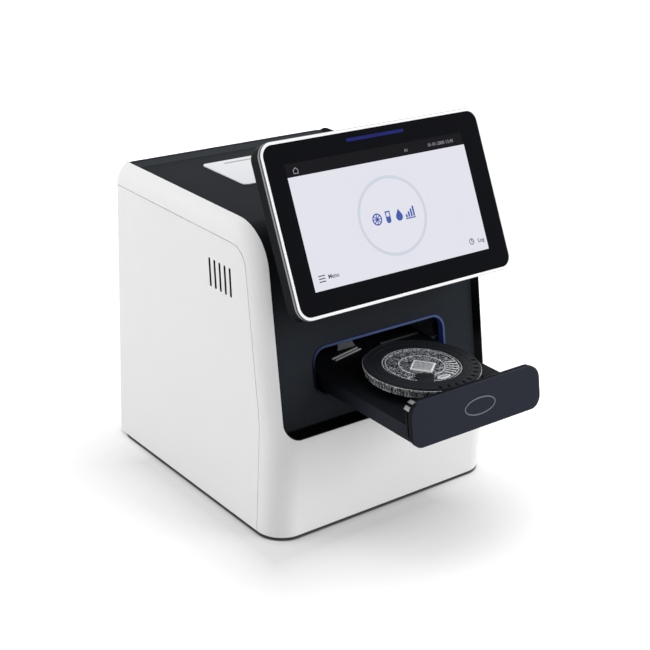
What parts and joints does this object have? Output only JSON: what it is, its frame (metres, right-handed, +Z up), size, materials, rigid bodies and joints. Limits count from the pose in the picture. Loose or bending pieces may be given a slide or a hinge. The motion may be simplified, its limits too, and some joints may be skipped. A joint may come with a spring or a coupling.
{
  "type": "benchtop chemistry analyzer",
  "caption": "Benchtop analyzer with a white shell, a dark recessed cover, a tilting touch display and a motor drawer that carries a reagent rotor into a lit slot.",
  "frame": {"origin": "on the bench, under the middle of the whole object with its drawer open as at rest", "axes": "+Z up, the drawer and the display face -Y, +X to the right of someone facing the front"},
  "size_m": [0.202, 0.2963, 0.2744],
  "materials": {
    "white_housing": "fine moulded satin",
    "dark_housing": "fine moulded satin",
    "light_guide": "lit acrylic",
    "label_plate": "printed film",
    "mark_paint": "printed line",
    "black_rubber": "matt",
    "black_abs": "moulded",
    "plated_steel": "zinc plated",
    "bright_steel": "bright plated",
    "motor_metal": "satin",
    "acetal": "machined",
    "heater_foil": "polyimide film",
    "circuit_board": "solder mask",
    "supply_case": "folded sheet",
    "clear_plastic": "clear moulded",
    "rotor_black": "moulded",
    "label_foil": "sealed film",
    "silver_trim": "satin",
    "dark_display": "moulded",
    "cover_glass": "printed glass",
    "lcd_module": "pressed tray"
  },
  "bodies": {
    "chassis": {"front_shell": "white_housing", "left_side_panel": "white_housing", "right_side_panel": "white_housing", "rear_panel": "white_housing", "dark_cover": "dark_housing", "slot_light_ring": "light_guide", "cover_plate": "label_plate", "feet": "black_rubber", "power_inlet": "black_abs", "switch_frame": "black_abs", "fan_frame": "black_abs", "code_reader": "black_abs", "optics_module": "black_abs", "lamp_module": "black_abs", "base_plate": "plated_steel", "left_frame_plate": "plated_steel", "right_frame_plate": "plated_steel", "drive_deck": "plated_steel", "chamber_roof": "plated_steel", "chamber_back_wall": "plated_steel", "left_rail": "plated_steel", "right_rail": "plated_steel", "motor_mount": "plated_steel", "hinge_bracket": "plated_steel", "hinge_pin": "bright_steel", "rear_screws": "bright_steel", "inlet_pins": "bright_steel", "usb_sockets": "bright_steel", "network_socket": "bright_steel", "gear_motor": "motor_metal", "board_standoffs": "acetal", "chamber_heater": "heater_foil", "main_board": "circuit_board", "power_supply": "supply_case", "lamp_lens": "clear_plastic"},
    "drawer": {"drawer_face": "dark_housing", "drawer_flange": "dark_housing", "drawer_mark": "mark_paint", "drawer_tray": "dark_housing", "drawer_rack": "acetal", "stop_bar": "bright_steel", "sensor_flag": "bright_steel", "latch_strips": "bright_steel", "spindle_motor": "motor_metal"},
    "rotor": {"spindle_hub": "acetal", "rotor_base": "clear_plastic", "rotor_ring": "rotor_black", "rotor_port": "rotor_black", "rotor_foil": "label_foil"},
    "pinion": {"drive_pinion": "acetal"},
    "display": {"display_glass": "cover_glass", "display_trim": "silver_trim", "display_housing": "dark_display", "display_panel": "lcd_module", "status_light": "light_guide", "display_board": "circuit_board", "hinge_lug": "plated_steel"},
    "rocker": {"power_rocker": "black_abs"},
    "fan": {"fan_rotor": "black_abs"}
  },
  "joints": [
    {"name": "drawer_slide", "type": "slide", "parent": "chassis", "child": "drawer", "axis": [0, 1, 0], "range_m": [0, 0.098]},
    {"name": "pinion_spin", "type": "hinge", "parent": "chassis", "child": "pinion", "pos_m": [0.033, -0.02276, 0.0945], "axis": [1, 0, 0], "range_deg": [-703, 0]},
    {"name": "rotor_spin", "type": "hinge", "parent": "drawer", "child": "rotor", "pos_m": [0, -0.08862, 0.1156], "axis": [0, 0, 1], "continuous": true},
    {"name": "display_tilt", "type": "hinge", "parent": "chassis", "child": "display", "pos_m": [0, -0.03644, 0.20295], "axis": [1, 0, 0], "range_deg": [-15, 15]},
    {"name": "power_switch", "type": "hinge", "parent": "chassis", "child": "rocker", "pos_m": [0.03, 0.14414, 0.032], "axis": [0, 0, 1], "range_deg": [0, 16]},
    {"name": "fan_spin", "type": "hinge", "parent": "chassis", "child": "fan", "pos_m": [-0.04, 0.13695, 0.15], "axis": [0, 1, 0], "continuous": true}
  ],
  "couplings": [
    {"joint": "pinion_spin", "follows": "drawer_slide", "rad_per_m": -125}
  ]
}
